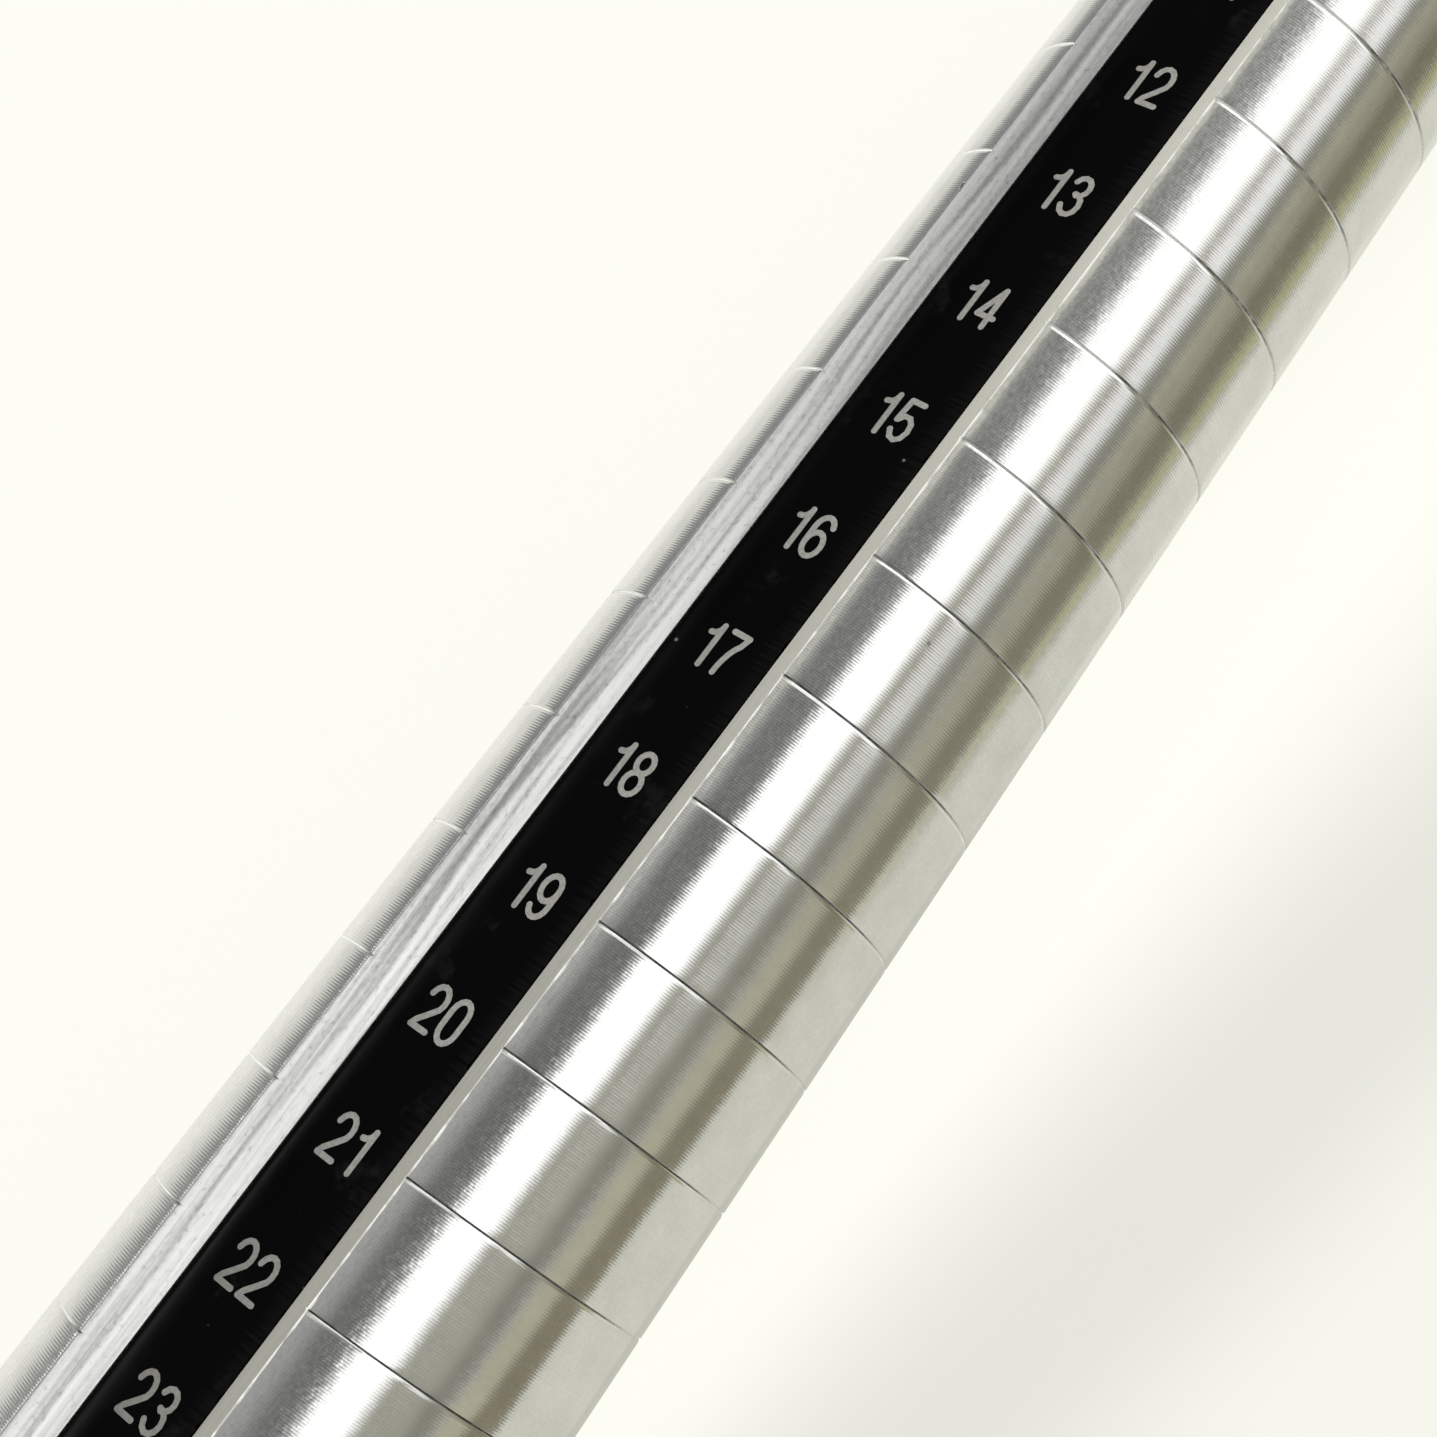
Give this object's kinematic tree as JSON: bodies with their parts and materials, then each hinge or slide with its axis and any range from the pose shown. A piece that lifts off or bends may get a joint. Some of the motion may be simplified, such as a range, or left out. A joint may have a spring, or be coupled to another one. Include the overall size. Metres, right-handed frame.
{
  "type": "ring sizer stick",
  "caption": "Tapered aluminium ring gauge with engraved size lines, a numbered black strip in a lengthwise channel, a fluted black grip and a swinging hanging loop.",
  "frame": {"origin": "on the stick's axis, at the middle of the straight collar between the taper and the grip", "axes": "+X along the axis towards the thin tip, +Z out of the numbered strip, the strip's numbers are read from the -Y side with +X up"},
  "size_m": [0.3227, 0.0286, 0.0286],
  "materials": {
    "turned_aluminium": "bright, with fine turning marks around it",
    "black_strip": "glossy black anodised",
    "number_ink": "pale printed ink",
    "tape": "double-sided tape",
    "collar_aluminium": "fine turned",
    "grip_plastic": "satin moulded black",
    "steel": "zinc plated",
    "cap_aluminium": "fine turned",
    "loop_steel": "polished"
  },
  "bodies": {
    "stick": {"mandrel": "turned_aluminium", "scale_strip": "black_strip", "size_numbers": "number_ink", "strip_tape": "tape", "collar": "collar_aluminium", "grip": "grip_plastic", "tie_rod": "steel", "washer": "steel", "nut": "steel", "end_cap": "cap_aluminium"},
    "loop": {"hang_loop": "loop_steel"}
  },
  "joints": [
    {"name": "loop_swing", "type": "hinge", "parent": "stick", "child": "loop", "pos_m": [-0.1185, 0, 0], "axis": [0, 1, 0], "range_deg": [0, 180]}
  ]
}
